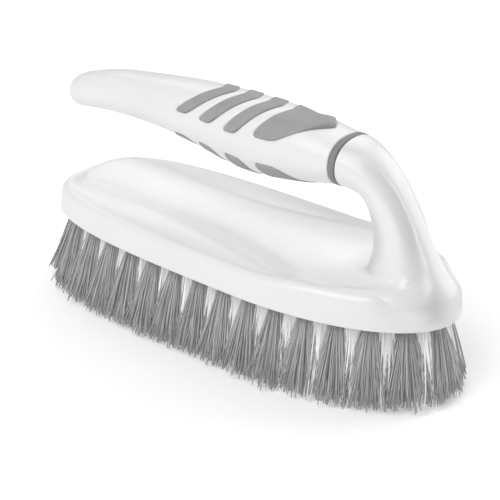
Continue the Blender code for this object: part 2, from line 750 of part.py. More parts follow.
def make_inner_rows(material, parent):
    for number, (y, places) in enumerate(inner_rows(), 1):
        points = []
        faces = []
        low, high = y - slice_half_width, y + slice_half_width
        edges = [places[0] - slice_half_width]
        edges += list((places[1:] + places[:-1]) / 2)
        edges.append(places[-1] + slice_half_width)
        count = len(edges)
        for z in (under_height, under_height + slice_depth):
            for x in edges:
                points.append(np.array([x, low, z]))
                points.append(np.array([x, high, z]))
        upper = 2 * count
        for j in range(count - 1):
            a = 2 * j
            faces.append((upper + a, upper + a + 1, upper + a + 3, upper + a + 2))
            faces.append((a, a + 2, upper + a + 2, upper + a))
            faces.append((a + 1, a + 3, upper + a + 3, upper + a + 1))
        faces.append((0, 1, upper + 1, upper))
        last = 2 * (count - 1)
        faces.append((last, last + 1, upper + last + 1, upper + last))
        for j, x in enumerate(places):
            cell = (2 * j, 2 * j + 2, 2 * j + 3, 2 * j + 1)
            first = len(points)
            centre = np.array([x, y, under_height])
            for corner in ((-1, -1, 0), (1, -1, 0), (1, 1, 0), (-1, 1, 0)):
                points.append(centre + slice_half_width * inner_root_share * np.array(corner))
            points.append(centre)
            for n in range(4):
                nxt = (n + 1) % 4
                faces.append((cell[n], cell[nxt], first + nxt, first + n))
            ways = ((0, -1, 0), (1, 0, 0), (0, 1, 0), (-1, 0, 0))
            tip = np.array([x, y, 0.0])
            tips = [tip + inner_row_pitch * inner_tip_share * np.array(way) for way in ways]
            rim = range(first, first + 4)
            fan(points, faces, first + 4, rim, tips, inner_root_thickness, inner_tip_thickness)
        mesh_object(f"inner_row_{number}", points, faces, material, parent)


def make_block(material, parent):
    """Bristle block: a plate with a hole for each outer tuft and a slot for each inner row."""
    inset = skirt_wall + seat_gap
    rings = [base_ring(inset, under_height), base_ring(inset, block_top)]
    block = solid("bristle_block", rings, material, parent)
    places, _, tangent = spaced_outline(hole_inset, outer_count)
    turn = np.linspace(0, 2 * np.pi, hole_points, endpoint=False)
    points = []
    faces = []

    def prism(corners, depth):
        first = len(points)
        count = len(corners)
        for z in (under_height - overrun, under_height + depth):
            points.extend(np.array([cx, cy, z]) for cx, cy in corners)
        faces.append(tuple(first + j for j in range(count)))
        faces.append(tuple(first + count + j for j in range(count)))
        for j in range(count):
            nxt = (j + 1) % count
            faces.append((first + j, first + nxt, first + count + nxt, first + count + j))

    for place, way in zip(places, tangent):
        out = np.array([way[1], -way[0]])
        prism([place + hole_radius * (np.cos(a) * way + np.sin(a) * out) for a in turn], hole_depth)
    for y, row in inner_rows():
        reach = slice_half_width + seat_gap
        x0, x1 = row[0] - reach, row[-1] + reach
        corners = [(x0, y - reach), (x1, y - reach), (x1, y + reach), (x0, y + reach)]
        prism([np.array(c) for c in corners], slice_depth + seat_gap)
    boolean(block, cutter(mesh_object("hole_cut", points, faces, None, parent)), "DIFFERENCE")


def main():
    clear_scene()
    root = bpy.data.objects.new("brush_root", None)
    bpy.context.collection.objects.link(root)
    root.location = (base_shift, 0, 0)

    cover_white = plastic("gloss_white_cover", (0.90, 0.90, 0.90), 0.22, 0.3)
    grip_white = plastic("gloss_white_grip", (0.90, 0.90, 0.90), 0.24, 0.3)
    soft_grey = plastic("soft_grey_rubber", (0.33, 0.33, 0.33), 0.6)
    block_white = plastic("white_block", (0.82, 0.82, 0.82), 0.5)
    outer_grey = plastic("grey_bristle", (0.30, 0.30, 0.30), 0.45)
    inner_pale = plastic("pale_bristle", (0.75, 0.75, 0.75), 0.4)

    solid("base_cover", cover_rings(), cover_white, root)
    make_grip(grip_white, soft_grey, root)
    make_band(soft_grey, root)
    make_block(block_white, root)
    make_outer_tufts(outer_grey, root)
    make_inner_rows(inner_pale, root)


main()
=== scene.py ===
import bpy
import numpy as np
from mathutils import Matrix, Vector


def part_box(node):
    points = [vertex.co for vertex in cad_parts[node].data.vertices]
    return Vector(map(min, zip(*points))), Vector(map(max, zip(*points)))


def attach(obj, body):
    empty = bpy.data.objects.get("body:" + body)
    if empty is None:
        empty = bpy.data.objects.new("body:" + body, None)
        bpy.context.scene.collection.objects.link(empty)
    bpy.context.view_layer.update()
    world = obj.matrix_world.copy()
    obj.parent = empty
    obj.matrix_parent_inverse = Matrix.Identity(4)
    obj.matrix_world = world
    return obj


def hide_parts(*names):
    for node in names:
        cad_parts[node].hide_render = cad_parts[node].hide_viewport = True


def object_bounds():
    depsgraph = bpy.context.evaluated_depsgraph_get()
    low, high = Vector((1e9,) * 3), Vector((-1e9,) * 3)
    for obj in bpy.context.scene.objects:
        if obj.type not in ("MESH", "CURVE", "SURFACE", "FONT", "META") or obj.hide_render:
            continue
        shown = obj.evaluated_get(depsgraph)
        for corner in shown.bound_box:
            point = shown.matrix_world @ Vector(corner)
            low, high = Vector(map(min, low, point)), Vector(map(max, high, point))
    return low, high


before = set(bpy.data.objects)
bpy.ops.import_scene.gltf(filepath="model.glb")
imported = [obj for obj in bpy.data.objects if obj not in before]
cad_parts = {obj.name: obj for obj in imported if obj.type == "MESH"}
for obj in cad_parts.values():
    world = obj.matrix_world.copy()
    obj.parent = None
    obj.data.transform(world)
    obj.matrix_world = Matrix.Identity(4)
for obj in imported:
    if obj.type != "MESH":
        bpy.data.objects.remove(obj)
cadBox = [list(map(float, corner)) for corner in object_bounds()]
chance = np.random.default_rng(7)
print("frame loaded:", len(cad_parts), "nodes")


# Small tools for shapes

def ease(value):  # smooth rise from 0 to 1
    value = np.clip(value, 0.0, 1.0)
    return value * value * (3 - 2 * value)


def mix(first, second, share):
    return first + (second - first) * share


def power(value, exponent):  # keeps the sign
    return np.sign(value) * np.abs(value) ** exponent


def curveThrough(places, values, at):  # cubic Hermite curve through the values at the places
    places, values = np.asarray(places, float), np.asarray(values, float)
    slopes = np.gradient(values, places)
    at = np.clip(at, places[0], places[-1])
    i = np.clip(np.searchsorted(places, at) - 1, 0, len(places) - 2)
    run = places[i + 1] - places[i]
    t = (at - places[i]) / run
    first = (2 * t**3 - 3 * t**2 + 1) * values[i] + (t**3 - 2 * t**2 + t) * run * slopes[i]
    return first + (3 * t**2 - 2 * t**3) * values[i + 1] + (t**3 - t**2) * run * slopes[i + 1]


def bezier(marks, t):  # cubic Bezier of four points, t of any shape
    a, b, c, d = (np.asarray(m, float) for m in marks)
    t = np.asarray(t)[..., None]
    return (1 - t) ** 3 * a + 3 * (1 - t) ** 2 * t * b + 3 * (1 - t) * t**2 * c + t**3 * d


def bump(value, middle, spread):  # bell curve of height 1
    return np.exp(-(((value - middle) / spread) ** 2))


def unit(ways):  # each way at length 1
    return ways / np.linalg.norm(ways, axis=-1, keepdims=True)


def superellipse(turn, n):  # a circle's point at a turn, pushed out to the superellipse of power n
    return power(np.cos(turn), 2 / n), power(np.sin(turn), 2 / n)


def travelled(x, y):  # length run up to each point of a line
    return np.concatenate([[0], np.cumsum(np.hypot(np.diff(x), np.diff(y)))])


def gridFaces(rows, columns):  # quads of a grid whose columns close into rings
    k = np.arange(rows * columns).reshape(rows, columns)
    after = np.roll(k, -1, axis=1)
    return np.stack([k[:-1], after[:-1], after[1:], k[1:]], -1).reshape(-1, 4)


def putMesh(name, points, quads, triangles, material, slot, replaced, sharpAngle=50):
    # points and corner numbers go in as whole arrays, turned over if the volume comes out negative,
    # and edges above the sharp angle, in degrees, stay sharp
    points = np.asarray(points, float).reshape(-1, 3)
    quads = np.asarray(quads, int).reshape(-1, 4)
    triangles = np.asarray(triangles, int).reshape(-1, 3)
    split = np.vstack([quads[:, [0, 1, 2]], quads[:, [0, 2, 3]], triangles])
    a, b, c = points[split[:, 0]], points[split[:, 1]], points[split[:, 2]]
    if np.sum(a * np.cross(b, c)) < 0:
        quads, triangles = quads[:, ::-1], triangles[:, ::-1]
    mesh = bpy.data.meshes.new(name)
    mesh.vertices.add(len(points))
    mesh.vertices.foreach_set("co", points.astype(np.float32).ravel())
    corners = np.concatenate([quads.ravel(), triangles.ravel()]).astype(np.int32)
    mesh.loops.add(len(corners))
    mesh.loops.foreach_set("vertex_index", corners)
    starts = np.concatenate([np.arange(len(quads)) * 4, quads.size + np.arange(len(triangles)) * 3])
    mesh.polygons.add(len(starts))
    mesh.polygons.foreach_set("loop_start", starts.astype(np.int32))
    mesh.update(calc_edges=True)
    mesh.validate()
    mesh.shade_smooth()
    mesh.set_sharp_from_angle(angle=np.radians(sharpAngle))
    mesh.materials.append(material)
    piece = bpy.data.objects.new(name, mesh)
    bpy.context.scene.collection.objects.link(piece)
    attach(piece, "root")
    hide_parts(*replaced)
    print("made", name, len(points), "points")
    return piece


def putValues(piece, label, values):  # an attribute with one value a point
    layer = piece.data.attributes.new(label, "FLOAT", "POINT")
    layer.data.foreach_set("value", values.astype(np.float32))


def putRings(name, rings, *finish, **edges):
    # closed body through rings of equal counts, each end closed to a middle point
    rings = np.asarray(rings, float)
    rows, columns = rings.shape[:2]
    points = np.vstack([rings.reshape(-1, 3), rings[0].mean(0), rings[-1].mean(0)])
    k = np.arange(columns)
    after = np.roll(k, -1)
    last = (rows - 1) * columns
    first = np.stack([after, k, np.full(columns, rows * columns)], -1)
    final = np.stack([last + k, last + after, np.full(columns, rows * columns + 1)], -1)
    return putMesh(name, points, gridFaces(rows, columns), np.vstack([first, final]), *finish, **edges)


# Materials

def linear(code):  # sRGB hex to linear colour
    share = np.array([int(code[i : i + 2], 16) for i in (1, 3, 5)]) / 255
    value = np.where(share <= 0.04045, share / 12.92, ((share + 0.055) / 1.055) ** 2.4)
    return (*value.tolist(), 1.0)


def addNode(tree, kind, settings=None, links=None):
    # a node with its settings, by property or socket name, and its links, by socket name
    node = tree.nodes.new(kind)
    for key, value in (settings or {}).items():
        if isinstance(key, str) and hasattr(node, key):
            setattr(node, key, value)
        else:
            node.inputs[key].default_value = value
    for key, (other, output) in (links or {}).items():
        tree.links.new(other.outputs[output], node.inputs[key])
    return node


def newMaterial(name):
    material = bpy.data.materials.new(name)
    material.use_nodes = True
    tree = material.node_tree
    tree.nodes.clear()
    return material, tree


def finishMaterial(tree, settings, links):
    shader = addNode(tree, "ShaderNodeBsdfPrincipled", settings, links)
    addNode(tree, "ShaderNodeOutputMaterial", {}, {"Surface": (shader, "BSDF")})


def noise(tree, where, sizeMm, detail):  # cloudy pattern of a real size
    settings = {"Scale": 1000 / sizeMm, "Detail": detail}
    return addNode(tree, "ShaderNodeTexNoise", settings, {"Vector": (where, "Object")})


def twoTone(tree, pattern, dark, pale, low=0.0, high=1.0):
    # dark where the pattern is low, pale where it is high
    tint = addNode(tree, "ShaderNodeValToRGB", {}, {"Fac": pattern})
    for stop, place, code in zip(tint.color_ramp.elements, (low, high), (dark, pale)):
        stop.position, stop.color = place, linear(code)
    return tint


def remapped(tree, pattern, low, high, start=0.3, end=0.7):
    # the pattern's stretch from start to end, spread from low to high
    settings = {"From Min": start, "From Max": end, "To Min": low, "To Max": high}
    return addNode(tree, "ShaderNodeMapRange", settings, {"Value": pattern})


def darkened(tree, colour, share):  # colour times a share
    settings = {"data_type": "RGBA", "blend_type": "MULTIPLY", "Factor": 1.0}
    return addNode(tree, "ShaderNodeMix", settings, {6: colour, 7: share})


def mouldedPlastic(name, pale, dark, roughness, peelMm, peelDepthMm, coat):
    # Moulded polypropylene, its colour in the resin. Colour = a drift of about 34 mm between two near
    # tones, where the melt flowed, times one minus the painted shade in the piece's hollow attribute,
    # which greys the creases and the column's shaded zones where shade falls. Shine = a satin that drifts
    # a few percent, under a thin coat for the polished skin. Relief = the mould's faint orange peel,
    # which breaks up the highlights.
    material, tree = newMaterial(name)
    where = addNode(tree, "ShaderNodeTexCoord")
    tint = twoTone(tree, (noise(tree, where, 34, 3.0), "Fac"), dark, pale, 0.3, 0.7)
    # the hollow attribute holds painted shade, which greys the cover's creases and the column's shaded
    # zones
    hollow = addNode(tree, "ShaderNodeAttribute", {"attribute_name": "hollow"})
    unshadedShare = addNode(tree, "ShaderNodeMath", {"operation": "SUBTRACT", 0: 1.0}, {1: (hollow, "Fac")})
    paintedShadeTint = darkened(tree, (tint, "Color"), (unshadedShare, 0))
    rough = remapped(tree, (noise(tree, where, 25, 1.0), "Fac"), roughness * 0.95, roughness * 1.06)
    relief = addNode(
        tree, "ShaderNodeBump", {"Strength": 1.0, "Distance": peelDepthMm / 1000},
        {"Height": (noise(tree, where, peelMm, 2.0), "Fac")},
    )
    finishMaterial(
        tree,
        {"IOR": 1.49, "Coat Weight": coat, "Coat Roughness": 0.12, "Coat IOR": 1.49},
        {"Base Color": (paintedShadeTint, 2), "Roughness": (rough, "Result"), "Normal": (relief, "Normal")},
    )
    return material


def mouldedRubber(name, pale, dark, roughness, grainMm=0.8, grainDepthMm=0.12):
    # Thermoplastic rubber moulded over the grip in a spark-eroded pocket. Colour and dullness = a
    # dusty cloud of about 5 mm between two near tones, which keeps it matt. Relief = a pebble grain
    # of round cells, about 0.4 mm on the real one, drawn twice as coarse so that it shows.
    material, tree = newMaterial(name)
    where = addNode(tree, "ShaderNodeTexCoord")
    grain = addNode(tree, "ShaderNodeTexVoronoi", {"Scale": 1000 / grainMm}, {"Vector": (where, "Object")})
    cloud = noise(tree, where, 5, 5.0)
    tint = twoTone(tree, (cloud, "Fac"), dark, pale, 0.25, 0.75)
    relief = addNode(
        tree, "ShaderNodeBump", {"Strength": 0.6, "Distance": grainDepthMm / 1000},
        {"Height": (grain, "Distance")},
    )
    rough = remapped(tree, (cloud, "Fac"), roughness * 0.9, roughness * 1.1)
    finishMaterial(
        tree,
        {"IOR": 1.5},
        {"Base Color": (tint, "Color"), "Roughness": (rough, "Result"), "Normal": (relief, "Normal")},
    )
    return material


def drawnFilament(name, pale, dark, rootShade, roughness, glow):
    # Drawn nylon filament. Colour = each strand's own shade between two tones, times a painted shade
    # that darkens it near its root, under the cover's rim and among the crowded strands. Drawing leaves a
    # satin shine along it. The strands also glow faintly with a light of their own, painted light that
    # lifts them where they lie in shade.
    material, tree = newMaterial(name)
    shade = addNode(tree, "ShaderNodeAttribute", {"attribute_name": "shade"})
    reach = addNode(tree, "ShaderNodeAttribute", {"attribute_name": "reach"})
    tint = twoTone(tree, (shade, "Fac"), dark, pale)
    root = remapped(tree, (reach, "Fac"), rootShade, 1.0, 0.0, 0.35)
    darker = darkened(tree, (tint, "Color"), (root, "Result"))
    finishMaterial(
        tree, {"Roughness": roughness, "IOR": 1.53, "Emission Strength": glow},
        {"Base Color": (darker, 2), "Emission Color": (darker, 2)},
    )
    return material


coverPlastic = mouldedPlastic("mouldedPolypropyleneCover", "#F5F5F5", "#F2F2F2", 0.30, 2.6, 0.0015, 0.15)
gripPlastic = mouldedPlastic("mouldedPolypropyleneGrip", "#F3F3F3", "#EFEFEF", 0.32, 2.4, 0.0015, 0.12)
blockPlastic = mouldedPlastic("mouldedPolypropyleneBlock", "#E6E6E6", "#DEDEDE", 0.5, 0.8, 0.01, 0.0)
gripRubber = mouldedRubber("overmouldedSoftRubber", "#A8A8A8", "#9C9C9C", 0.62)
bandRubber = mouldedRubber("overmouldedSoftRubberBand", "#8F8F8F", "#868686", 0.6)
# fourth value: how much colour the painted shade near the root keeps; last value: strength of the strands'
# painted glow
greyNylon = drawnFilament("drawnNylonGrey", "#C8C8C8", "#B0B0B0", 0.9, 0.38, 0.06)
paleNylon = drawnFilament("drawnNylonPale", "#F8F8F8", "#C4C4C4", 0.75, 0.35, 0.39)
print("materials made")


# Base cover: skirt, scooped flanks, deck and column in one moulding

base = {
    "length": 0.165, "width": 0.0622, "widest": 0.0168, "toePower": 3.4, "heelPower": 2.05,
    "rim": 0.0285, "deckRise": 0.0118, "rimRound": 0.0004, "draft": 0.0006,
    "shoulderRise": 0.0092, "shoulderRiseEnd": 0.0113, "shoulderRadius": 0.0030,
    "climbStart": 0.0200, "climbEnd": 0.0470,
    "spineShare": 0.8, "spineRise": 0.0100, "spineDraft": 0.0003, "spineInset": 0.0009,
    "deckToe": 0.0095, "deckSide": 0.0052, "deckHeel": 0.0015,
    "waist": 0.0111, "waistPlace": -0.0267, "flareRadius": 0.190, "waistPower": 8,
    "scoopToe": 0.0014, "scoopDepth": 0.0041, "scoopDeepest": 0.0225, "scoopEnd": 0.0425,
    "scoopFade": 0.0100, "wallRun": 0.0021, "floorHollow": 0.0005,
    "wallHollow": 0.0012, "wallHollowTurn": 29, "wallHollowSpread": 9,
    "wallHollowShare": 0.7, "deckPull": 0.0326, "bendAlong": 0.15, "bendAcross": 0.6,
    "skirtWall": 0.0024, "ledgeRise": 0.0056, "deckWall": 0.0024,
}
column = {
    "front": ((0.0299, 0.0004), (0.0324, 0.0087), (0.0306, 0.0239), (0.0402, 0.0248)),
    "back": ((0.0024, 0.0004), (0.0134, 0.0118), (0.0201, 0.0396), (0.0402, 0.0409)),
    "width": 0.0202, "places": (0.0, 0.12, 0.3, 0.55, 0.78, 1.0),
    "widths": (1.0, 0.91, 0.80, 0.78, 0.9, 1.06), "fillet": 0.0022, "filletEnd": 0.09,
    "footPower": 2.7, "jointPower": 2.2, "frontPower": 1.55, "footBlend": 0.25, "frontBlend": 4,
    "marks": (0.0, 0.18, 0.4, 0.6, 0.8, 1.0), "push": (-0.2, -0.05, 0.12, 0.12, 0.05, 0.0),
    "hollow": (0.34, 0.40, 0.44, 0.36, 0.16, 0.0), "hollowTurn": (46, 40, 34, 38, 44, 48),
    "hollowSpread": (22, 19, 15, 17, 20, 20), "frontFade": (0.7, 1.0),
    "spigot": 0.62, "spigotLength": 0.0130, "endRound": 0.0003, "lastShare": 0.985,
}
sweep = {  # the skirt's rise into the column round the heel, its low edge between the low turns
    "footShare": 0.8, "join": 0.13, "rises": (0.0040, 0.0048), "footLength": 0.0065,
    "lowTurns": (20, 36), "endTurns": (30, 43), "footStep": 0.01, "top": 0.17,
}
coverSteps = {  # how many rings each part of the cover takes, with the ring it starts on
    "edge": 5, "wall": 9, "shoulder": 11, "floor": 13, "scoopWall": 13, "deck": 25,
    "fillet": 9, "lower": 6, "upper": 56, "end": 5,
}
shift = sum(corner.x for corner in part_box("base_cover")) / 2  # the base's middle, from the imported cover
halfLength, halfWidth = base["length"] / 2, base["width"] / 2
rim, deck = base["rim"], base["rim"] + base["deckRise"]

# Where each column of the cover's grid stands, from the heel round to the toe and back. The base and
# the column take their own turns, so that the lines between them run square to both.
grid = {
    "around": 400, "shares": (0, 0.15, 0.30, 0.42, 0.55, 1.0), "widestShare": 0.55,
    "baseTurns": (0, 15, 35, 58, 90), "columnTurns": (0, 32, 74, 100, 125, 180),
}


def halfTurns():  # turns on the base and on the column, from the heel to the toe
    half = np.linspace(0, 1, grid["around"] // 2 + 1)
    heelPart = np.radians(curveThrough(grid["shares"][:-1], grid["baseTurns"], half))
    fine = np.linspace(np.pi / 2, np.pi, 10 * grid["around"])
    x, y = superellipse(fine, base["toePower"])
    travel = travelled((halfLength + base["widest"]) * x, halfWidth * y)
    past = np.clip((half - grid["widestShare"]) / (1 - grid["widestShare"]), 0, 1)
    toePart = np.interp(past * travel[-1], travel, fine)  # at equal steps along the outline
    onColumn = np.radians(curveThrough(grid["shares"], grid["columnTurns"], half))
    return np.where(half < grid["widestShare"], heelPart, toePart), onColumn


baseTurn, columnTurn = (np.concatenate([half, 2 * np.pi - half[-2:0:-1]]) for half in halfTurns())
fromHeel, columnFromHeel = (  # degrees from the heel, on either side
    np.degrees(np.arccos(np.clip(np.cos(turn), -1, 1))) for turn in (baseTurn, columnTurn)
)
baseSpine, columnSpine = (  # 1 on the heel's spine, 0 away from it
    ease((np.cos(turn) - base["spineShare"]) / (1 - base["spineShare"])) for turn in (baseTurn, columnTurn)
)


def halfRun(heel, inset):  # length of the outline's heel half or toe half
    return np.where(heel, halfLength - base["widest"], halfLength + base["widest"]) - inset


def outline(inset, turn=None):  # two superellipse halves that meet at the widest place
    turn = baseTurn if turn is None else turn
    heel = np.cos(turn) > 0
    x, y = superellipse(turn, np.where(heel, base["heelPower"], base["toePower"]))
    return base["widest"] + halfRun(heel, inset) * x, (halfWidth - inset) * y


def level(x, y, z):  # points at one height
    return np.stack([x, y, np.broadcast_to(z, x.shape)], -1)


def wallRing(inset, spine, rise, share):  # a ring of the skirt, hollowed beside the spine at the heel
    hollow = base["wallHollow"] * share * bump(fromHeel, base["wallHollowTurn"], base["wallHollowSpread"])
    return level(*outline(mix(inset, spine, baseSpine) + hollow), rim + rise)


def deckEdge(shrink=0.0):  # the deck's edge, drawn in to the waist's arc
    side = mix(base["deckSide"], base["deckHeel"], baseSpine)
    x, y = outline(np.where(np.cos(baseTurn) > 0, side, base["deckToe"]) + shrink)
    limit = base["waist"] + (x - base["waistPlace"]) ** 2 / (2 * base["flareRadius"]) - shrink
    return x, y * (np.abs(y / limit) ** base["waistPower"] + 1) ** (-1 / base["waistPower"])


def scoopDepth(x):  # how deep the scoop's wall is at a place along the base
    toe = -halfLength + base["deckToe"]
    grown = ease((x - toe) / (base["scoopDeepest"] - toe))
    start = ease((x - toe) / base["scoopFade"])
    finish = 1 - ease((x - base["scoopDeepest"]) / (base["scoopEnd"] - base["scoopDeepest"]))
    return mix(base["scoopToe"], base["scoopDepth"], grown) * start * finish


def columnCurve(side, t):  # x and height on the column's front or back curve
    return bezier([(halfLength - back, deck + rise) for back, rise in column[side]], t)


def columnRings(t, grow=0.0, scale=1.0, hollow=1.0):
    # sections in the planes through the front and back curves: a round heel spine, a hollow flank,
    # a flat side and a front that narrows to an edge. t holds one share a ring, or one a point.
    t = np.atleast_1d(np.asarray(t, float))
    t = t[:, None] if t.ndim == 1 else t
    grow = np.asarray(grow, float)
    grow = grow[:, None] if grow.ndim == 1 else grow
    front, back = columnCurve("front", t), columnCurve("back", t)
    middle, reach = (front + back) / 2, (back - front) / 2 * scale
    plain = mix(column["footPower"], column["jointPower"], ease(t))
    start, end = column["frontFade"]
    narrow = mix(column["frontPower"], column["jointPower"], ease((t - start) / (end - start)))
    narrow = mix(column["footPower"], narrow, ease(t / column["footBlend"]))
    frontward = ease(-np.cos(columnTurn) * column["frontBlend"] + 0.5)
    c, s = superellipse(columnTurn, mix(plain, mix(plain, narrow, hollow), frontward))
    dip, dipTurn, dipSpread, push = (
        curveThrough(column["marks"], column[key], t)
        for key in ("hollow", "hollowTurn", "hollowSpread", "push")
    )
    width = column["width"] / 2 * curveThrough(column["places"], column["widths"], t) * scale
    hollowed = 1 - hollow * dip * bump(columnFromHeel, dipTurn, dipSpread)
    side = (width + grow * (1 - columnSpine)) * s * hollowed
    c = c + hollow * push * (1 - c**2)
    x = middle[..., 0] + reach[..., 0] * c + grow * np.minimum(c, 0)
    return np.stack([x, side, middle[..., 1] + reach[..., 1] * c], -1)


# Lines along the flank: their places from the base's middle, how strong they are at each, how far
# they reach on either side, the depth of the groove there and how much painted shade greys the
# plastic along it. The first runs along the scoop's wall, the second along its outer edge, the third
# to the column's foot.
creases = [
    {
        "x": (-0.073, -0.055, -0.030, -0.004, 0.013, 0.029, 0.037),
        "y": (0.0119, 0.0116, 0.0112, 0.0124, 0.0152, 0.0193, 0.0222),
        "strength": (0.3, 0.5, 0.5, 0.9, 1.0, 1.0, 0.4), "reach": 0.0024, "depth": 0.0, "paintedShade": 0.11,
    },
    {
        "x": (-0.030, -0.019, 0.001, 0.020, 0.035), "y": (0.0270, 0.0262, 0.0256, 0.0240, 0.0222),
        "strength": (0.0, 0.4, 0.8, 1.0, 0.6), "reach": 0.0020, "depth": 0.0003, "paintedShade": 0.03,
    },
    {
        "x": (0.034, 0.040, 0.049, 0.0555, 0.062, 0.069),
        "y": (0.0222, 0.0236, 0.0222, 0.0188, 0.0143, 0.0118),
        "strength": (0.2, 0.9, 1.0, 1.0, 0.9, 0.3), "reach": 0.0016, "depth": 0.0004, "paintedShade": 0.04,
    },
]
creaseEnd = {"height": 0.042, "fade": 0.003, "steps": 80}

# Painted shade on zones of the column, on its front, in its flank's hollow and at that hollow's foot:
# turn from the heel and its spread in degrees, heights between which each starts and ends, and how
# much the painted shade greys it.
shades = [
    {"turn": 132, "spread": 26, "low": (0.0405, 0.0417), "high": (0.057, 0.066), "paintedShade": 0.24},
    {"turn": 43, "spread": 19, "low": (0.033, 0.037), "high": (0.078, 0.096), "paintedShade": 0.13},
    {"turn": 27, "spread": 14, "low": (0.029, 0.033), "high": (0.036, 0.050), "paintedShade": 0.16},
]


def streak(points, line):
    # bell curve of the distance in plan to a line on either flank, up to the column's foot
    marks, fine = np.linspace(0, 1, len(line["x"])), np.linspace(0, 1, creaseEnd["steps"])
    x, y, strength = (curveThrough(marks, line[key], fine) for key in ("x", "y", "strength"))
    away = np.hypot(points[..., 0, None] - x, np.abs(points[..., 1, None]) - y)
    below = 1 - ease((points[..., 2] - creaseEnd["height"]) / creaseEnd["fade"])
    return (strength * bump(away, 0, line["reach"])).max(-1) * below


# painted shade: how much greyer each point of the cover is painted along the creases and on the column's
# shaded zones
def paintedHollowShade(rings):  # how much greyer each point of the cover is
    paintedShade = sum(line["paintedShade"] * streak(rings, line) for line in creases)
    z = rings[..., 2]
    for shade in shades:
        low, high = (ease((z - start) / (end - start)) for start, end in (shade["low"], shade["high"]))
        zone = bump(columnFromHeel, shade["turn"], shade["spread"])
        paintedShade = paintedShade + shade["paintedShade"] * zone * low * (1 - high)
    return paintedShade


def roundedEnd(final, radius, steps, way):
    # rings that round the edge of an end; way is 1 where the piece comes from the heel, -1 from the toe
    outward = unit(final - final.mean(0))
    rings = []
    for turn in np.linspace(0, np.pi / 2, steps):
        ring = final - outward * radius * (1 - np.cos(turn))
        ring[:, 0] += way * radius * (1 - np.sin(turn))
        rings.append(ring)
    return rings


def shellRings():  # from the hollow's ceiling down its wall, round the rim and up the skirt
    wall, ledge = base["deckWall"], rim + base["ledgeRise"]
    rings = [level(*deckEdge(wall), deck - wall), level(*deckEdge(wall), ledge)]
    rings += [level(*outline(base["skirtWall"]), z) for z in (ledge, rim)]
    for turn in np.linspace(0, np.pi / 2, coverSteps["edge"]):  # rounded lower edge
        inset, lift = base["rimRound"] * (1 - np.sin(turn)), base["rimRound"] * (1 - np.cos(turn))
        rings.append(wallRing(inset, inset, lift, 0.0))
    wallTop = base["shoulderRise"] - base["shoulderRadius"]
    for share in np.linspace(0, 1, coverSteps["wall"])[1:]:
        rise, hollow = mix(base["rimRound"], wallTop, share), base["wallHollowShare"] * ease(share)
        rings.append(wallRing(base["draft"] * share, base["spineDraft"] * share, rise, hollow))
    return rings


def flankRings():  # over the rounded shoulder, across the scoop and up its wall, then in over the deck
    edge = level(*deckEdge(), deck)
    climb = ease((edge[:, 0] - base["climbStart"]) / (base["climbEnd"] - base["climbStart"]))
    top = mix(mix(base["shoulderRise"], base["shoulderRiseEnd"], climb), base["spineRise"], baseSpine)
    rings = []
    for turn in np.linspace(0, np.pi / 2, coverSteps["shoulder"])[1:]:
        inset = base["draft"] + base["shoulderRadius"] * (1 - np.cos(turn))
        spine = mix(base["spineDraft"], base["spineInset"], np.sin(turn))
        rise = top - base["shoulderRadius"] * (1 - np.sin(turn))
        rings.append(wallRing(inset, spine, rise, mix(base["wallHollowShare"], 1.0, np.sin(turn))))
    shoulder = rings[-1]
    run = np.linalg.norm((shoulder - edge)[:, :2], axis=1)
    foot = mix(edge, shoulder, np.minimum(base["wallRun"] / run, 0.5)[:, None])
    foot[:, 2] = np.minimum(foot[:, 2], deck - scoopDepth(edge[:, 0]))
    for s in np.linspace(0, 1, coverSteps["floor"])[1:]:
        ring = mix(shoulder, foot, s)
        ring[:, 2] -= 4 * base["floorHollow"] * s * (1 - s) * (1 - baseSpine) * (1 - climb)
        rings.append(ring)
    for s in np.linspace(0, 1, coverSteps["scoopWall"])[1:]:  # rounded above and below
        ring = mix(foot, edge, s)
        ring[:, 2] = mix(foot[:, 2], edge[:, 2], ease(s))
        rings.append(ring)

    # the deck lies on curves from its edge to the column, bent inwards where the waist is
    apron = columnRings(0.0, column["fillet"])[0]
    apron[:, 2] = mix(deck, apron[:, 2], columnSpine)
    pull = (1 - ease((edge[:, 0] - base["climbStart"]) / base["deckPull"]))[:, None]
    bentX, bentY = mix(edge[:, 0], apron[:, 0], base["bendAlong"]), base["bendAcross"] * apron[:, 1]
    control = mix((edge + apron) / 2, np.stack([bentX, bentY, edge[:, 2]], -1), pull)
    for s in np.linspace(0, 1, coverSteps["deck"])[1:]:
        rings.append((1 - s) ** 2 * edge + 2 * s * (1 - s) * control + s**2 * apron)
    return rings


def footRings():  # the column's foot, with a fillet to the deck
    t = np.linspace(0, column["filletEnd"], coverSteps["fillet"])[1:]
    h = np.clip((columnCurve("front", t)[:, 1] - deck) / column["fillet"], 0, 1)
    rings = columnRings(t, column["fillet"] * (1 - np.sqrt(1 - (1 - h) ** 2)))
    above = np.linspace(column["filletEnd"], sweep["top"], coverSteps["lower"])[1:]
    return list(rings) + list(columnRings(above))


